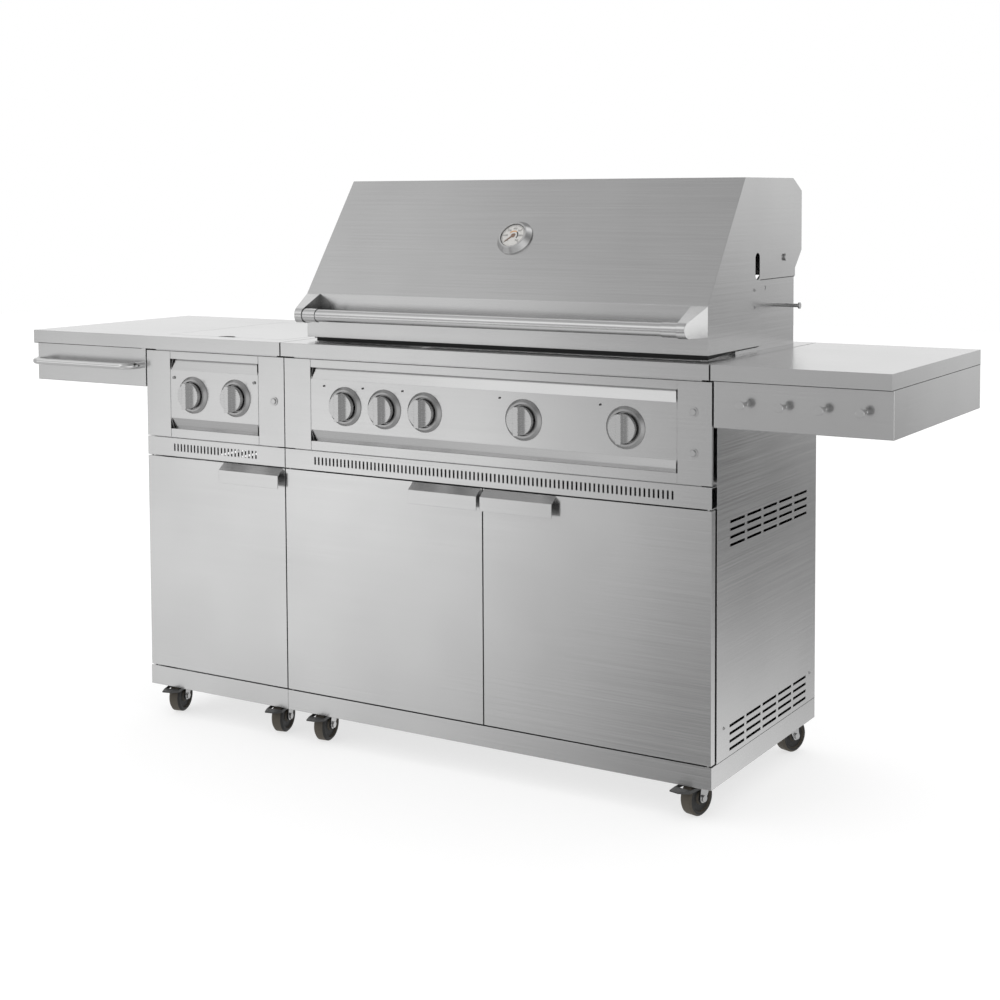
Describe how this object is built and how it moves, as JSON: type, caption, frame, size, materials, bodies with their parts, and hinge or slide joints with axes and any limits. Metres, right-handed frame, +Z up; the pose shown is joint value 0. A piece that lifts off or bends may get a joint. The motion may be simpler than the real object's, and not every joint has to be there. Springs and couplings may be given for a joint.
{
  "type": "gas grill cart",
  "caption": "Free-standing brushed-steel gas grill cart: lidded grill and covered side burner over cabinets with hinged doors, vent strips, side shelves, towel rail and braked casters.",
  "frame": {"origin": "on the floor under the middle of the cart's bounding box", "axes": "+X along the cart to the right as seen from the doors, +Y from the doors to the back, +Z up"},
  "size_m": [2.2214, 0.622, 1.289],
  "materials": {
    "brushed_sheet": "brushed, grain along the sheet",
    "inner_steel": "plain mill finish",
    "cast_iron": "seasoned, matt",
    "manifold_alloy": "as cast",
    "bright_steel": "fine satin, nearly polished",
    "knob_metal": "satin plated",
    "button_steel": "bright plated",
    "pedal_dark": "dark grey, half matt",
    "needle_black": "matt black",
    "plated_steel": "bright zinc plate",
    "wheel_rubber": "dark brown-black, matt"
  },
  "bodies": {
    "cart": {"plinth_trays": "brushed_sheet", "main_cabinet_panels": "brushed_sheet", "left_cabinet_panels": "brushed_sheet", "vent_grilles": "brushed_sheet", "main_control_panel": "brushed_sheet", "left_control_panel": "brushed_sheet", "main_worktop": "brushed_sheet", "left_worktop": "brushed_sheet", "right_worktop": "brushed_sheet", "shelf_aprons": "brushed_sheet", "towel_bar": "bright_steel", "firebox": "inner_steel", "hood_cheeks": "brushed_sheet", "cooking_grates": "cast_iron", "flame_tamers": "inner_steel", "burners": "inner_steel", "warming_rack": "bright_steel", "gas_manifolds": "manifold_alloy", "side_burner_heads": "cast_iron", "side_burner_grate": "cast_iron", "knob_bezels": "bright_steel"},
    "lid": {"lid_shell": "brushed_sheet", "lid_handle": "bright_steel", "thermometer": "bright_steel"},
    "gauge_needle": {"thermometer_needle": "needle_black"},
    "burner_cover": {"burner_cover": "brushed_sheet"},
    "left_door": {"left_door": "brushed_sheet"},
    "main_left_door": {"main_left_door": "brushed_sheet"},
    "main_right_door": {"main_right_door": "brushed_sheet"},
    "grease_tray": {"grease_tray": "inner_steel"},
    "grill_knob_1": {"grill_knob_1": "knob_metal"},
    "grill_knob_2": {"grill_knob_2": "knob_metal"},
    "grill_knob_3": {"grill_knob_3": "knob_metal"},
    "grill_knob_4": {"grill_knob_4": "knob_metal"},
    "grill_knob_5": {"grill_knob_5": "knob_metal"},
    "side_burner_knob_1": {"side_burner_knob_1": "knob_metal"},
    "side_burner_knob_2": {"side_burner_knob_2": "knob_metal"},
    "upper_right_button": {"upper_right_button": "button_steel"},
    "lower_right_button": {"lower_right_button": "button_steel"},
    "side_burner_button": {"side_burner_button": "button_steel"},
    "fork_main_front_left": {"caster_fork_main_front_left": "plated_steel"},
    "wheel_main_front_left": {"caster_wheel_main_front_left": "wheel_rubber"},
    "pedal_main_front_left": {"brake_pedal_main_front_left": "pedal_dark"},
    "fork_main_front_right": {"caster_fork_main_front_right": "plated_steel"},
    "wheel_main_front_right": {"caster_wheel_main_front_right": "wheel_rubber"},
    "pedal_main_front_right": {"brake_pedal_main_front_right": "pedal_dark"},
    "fork_main_rear_left": {"caster_fork_main_rear_left": "plated_steel"},
    "wheel_main_rear_left": {"caster_wheel_main_rear_left": "wheel_rubber"},
    "fork_main_rear_right": {"caster_fork_main_rear_right": "plated_steel"},
    "wheel_main_rear_right": {"caster_wheel_main_rear_right": "wheel_rubber"},
    "fork_side_front_left": {"caster_fork_side_front_left": "plated_steel"},
    "wheel_side_front_left": {"caster_wheel_side_front_left": "wheel_rubber"},
    "pedal_side_front_left": {"brake_pedal_side_front_left": "pedal_dark"},
    "fork_side_front_right": {"caster_fork_side_front_right": "plated_steel"},
    "wheel_side_front_right": {"caster_wheel_side_front_right": "wheel_rubber"},
    "pedal_side_front_right": {"brake_pedal_side_front_right": "pedal_dark"},
    "fork_side_rear_left": {"caster_fork_side_rear_left": "plated_steel"},
    "wheel_side_rear_left": {"caster_wheel_side_rear_left": "wheel_rubber"},
    "fork_side_rear_right": {"caster_fork_side_rear_right": "plated_steel"},
    "wheel_side_rear_right": {"caster_wheel_side_rear_right": "wheel_rubber"}
  },
  "joints": [
    {"name": "lid_hinge", "type": "hinge", "parent": "cart", "child": "lid", "pos_m": [0.211, 0.185, 1.117], "axis": [-1, 0, 0], "range_deg": [0, 80]},
    {"name": "gauge_needle_turn", "type": "hinge", "parent": "lid", "child": "gauge_needle", "pos_m": [0.211, -0.13197, 1.16687], "axis": [0, 0.8131, -0.5821], "range_deg": [0, 270]},
    {"name": "burner_cover_hinge", "type": "hinge", "parent": "cart", "child": "burner_cover", "pos_m": [-0.5335, 0.199, 0.9175], "axis": [-1, 0, 0], "range_deg": [0, 95]},
    {"name": "left_door_hinge", "type": "hinge", "parent": "cart", "child": "left_door", "pos_m": [-0.734, -0.257, 0.375], "axis": [0, 0, -1], "range_deg": [0, 110]},
    {"name": "main_left_door_hinge", "type": "hinge", "parent": "cart", "child": "main_left_door", "pos_m": [-0.312, -0.257, 0.375], "axis": [0, 0, -1], "range_deg": [0, 110]},
    {"name": "main_right_door_hinge", "type": "hinge", "parent": "cart", "child": "main_right_door", "pos_m": [0.734, -0.257, 0.375], "axis": [0, 0, 1], "range_deg": [0, 110]},
    {"name": "grease_tray_slide", "type": "slide", "parent": "cart", "child": "grease_tray", "axis": [0, 1, 0], "range_m": [0, 0.3]},
    {"name": "grill_knob_1_turn", "type": "hinge", "parent": "cart", "child": "grill_knob_1", "pos_m": [-0.15, -0.273, 0.78475], "axis": [0, -1, 0], "range_deg": [0, 135]},
    {"name": "grill_knob_2_turn", "type": "hinge", "parent": "cart", "child": "grill_knob_2", "pos_m": [-0.043, -0.273, 0.78475], "axis": [0, -1, 0], "range_deg": [0, 135]},
    {"name": "grill_knob_3_turn", "type": "hinge", "parent": "cart", "child": "grill_knob_3", "pos_m": [0.064, -0.273, 0.78475], "axis": [0, -1, 0], "range_deg": [0, 135]},
    {"name": "grill_knob_4_turn", "type": "hinge", "parent": "cart", "child": "grill_knob_4", "pos_m": [0.3135, -0.273, 0.78475], "axis": [0, -1, 0], "range_deg": [0, 135]},
    {"name": "grill_knob_5_turn", "type": "hinge", "parent": "cart", "child": "grill_knob_5", "pos_m": [0.5535, -0.273, 0.78475], "axis": [0, -1, 0], "range_deg": [0, 135]},
    {"name": "side_burner_knob_1_turn", "type": "hinge", "parent": "cart", "child": "side_burner_knob_1", "pos_m": [-0.5975, -0.273, 0.78475], "axis": [0, -1, 0], "range_deg": [0, 135]},
    {"name": "side_burner_knob_2_turn", "type": "hinge", "parent": "cart", "child": "side_burner_knob_2", "pos_m": [-0.4675, -0.273, 0.78475], "axis": [0, -1, 0], "range_deg": [0, 135]},
    {"name": "upper_right_button_press", "type": "slide", "parent": "cart", "child": "upper_right_button", "axis": [0, 1, 0], "range_m": [0, 0.004], "stiffness_N_per_m": 400},
    {"name": "lower_right_button_press", "type": "slide", "parent": "cart", "child": "lower_right_button", "axis": [0, 1, 0], "range_m": [0, 0.004], "stiffness_N_per_m": 400},
    {"name": "side_burner_button_press", "type": "slide", "parent": "cart", "child": "side_burner_button", "axis": [0, 1, 0], "range_m": [0, 0.004], "stiffness_N_per_m": 400},
    {"name": "main_front_left_swivel", "type": "hinge", "parent": "cart", "child": "fork_main_front_left", "pos_m": [-0.2485, -0.198, 0.11], "axis": [0, 0, 1], "continuous": true},
    {"name": "main_front_left_roll", "type": "hinge", "parent": "fork_main_front_left", "child": "wheel_main_front_left", "pos_m": [-0.24544, -0.21979, 0.0375], "axis": [0.9903, 0.1392, 0], "continuous": true},
    {"name": "main_front_left_brake", "type": "hinge", "parent": "fork_main_front_left", "child": "pedal_main_front_left", "pos_m": [-0.24572, -0.2178, 0.064], "axis": [0.9903, 0.1392, 0], "range_deg": [0, 15]},
    {"name": "main_front_right_swivel", "type": "hinge", "parent": "cart", "child": "fork_main_front_right", "pos_m": [0.6965, -0.198, 0.11], "axis": [0, 0, 1], "continuous": true},
    {"name": "main_front_right_roll", "type": "hinge", "parent": "fork_main_front_right", "child": "wheel_main_front_right", "pos_m": [0.69155, -0.21944, 0.0375], "axis": [0.9744, -0.225, 0], "continuous": true},
    {"name": "main_front_right_brake", "type": "hinge", "parent": "fork_main_front_right", "child": "pedal_main_front_right", "pos_m": [0.692, -0.21749, 0.064], "axis": [0.9744, -0.225, 0], "range_deg": [0, 15]},
    {"name": "main_rear_left_swivel", "type": "hinge", "parent": "cart", "child": "fork_main_rear_left", "pos_m": [-0.2485, 0.232, 0.11], "axis": [0, 0, 1], "continuous": true},
    {"name": "main_rear_left_roll", "type": "hinge", "parent": "fork_main_rear_left", "child": "wheel_main_rear_left", "pos_m": [-0.24544, 0.25379, 0.0375], "axis": [-0.9903, 0.1392, 0], "continuous": true},
    {"name": "main_rear_right_swivel", "type": "hinge", "parent": "cart", "child": "fork_main_rear_right", "pos_m": [0.6965, 0.232, 0.11], "axis": [0, 0, 1], "continuous": true},
    {"name": "main_rear_right_roll", "type": "hinge", "parent": "fork_main_rear_right", "child": "wheel_main_rear_right", "pos_m": [0.70402, 0.25267, 0.0375], "axis": [-0.9397, 0.342, 0], "continuous": true},
    {"name": "side_front_left_swivel", "type": "hinge", "parent": "cart", "child": "fork_side_front_left", "pos_m": [-0.6965, -0.198, 0.11], "axis": [0, 0, 1], "continuous": true},
    {"name": "side_front_left_roll", "type": "hinge", "parent": "fork_side_front_left", "child": "wheel_side_front_left", "pos_m": [-0.69118, -0.21935, 0.0375], "axis": [0.9703, 0.2419, 0], "continuous": true},
    {"name": "side_front_left_brake", "type": "hinge", "parent": "fork_side_front_left", "child": "pedal_side_front_left", "pos_m": [-0.69166, -0.21741, 0.064], "axis": [0.9703, 0.2419, 0], "range_deg": [0, 15]},
    {"name": "side_front_right_swivel", "type": "hinge", "parent": "cart", "child": "fork_side_front_right", "pos_m": [-0.3765, -0.198, 0.11], "axis": [0, 0, 1], "continuous": true},
    {"name": "side_front_right_roll", "type": "hinge", "parent": "fork_side_front_right", "child": "wheel_side_front_right", "pos_m": [-0.37193, -0.21952, 0.0375], "axis": [0.9781, 0.2079, 0], "continuous": true},
    {"name": "side_front_right_brake", "type": "hinge", "parent": "fork_side_front_right", "child": "pedal_side_front_right", "pos_m": [-0.37234, -0.21756, 0.064], "axis": [0.9781, 0.2079, 0], "range_deg": [0, 15]},
    {"name": "side_rear_left_swivel", "type": "hinge", "parent": "cart", "child": "fork_side_rear_left", "pos_m": [-0.6965, 0.232, 0.11], "axis": [0, 0, 1], "continuous": true},
    {"name": "side_rear_left_roll", "type": "hinge", "parent": "fork_side_rear_left", "child": "wheel_side_rear_left", "pos_m": [-0.69842, 0.25392, 0.0375], "axis": [-0.9962, -0.0872, 0], "continuous": true},
    {"name": "side_rear_right_swivel", "type": "hinge", "parent": "cart", "child": "fork_side_rear_right", "pos_m": [-0.3765, 0.232, 0.11], "axis": [0, 0, 1], "continuous": true},
    {"name": "side_rear_right_roll", "type": "hinge", "parent": "fork_side_rear_right", "child": "wheel_side_rear_right", "pos_m": [-0.37496, 0.25395, 0.0375], "axis": [-0.9976, 0.0698, 0], "continuous": true}
  ]
}
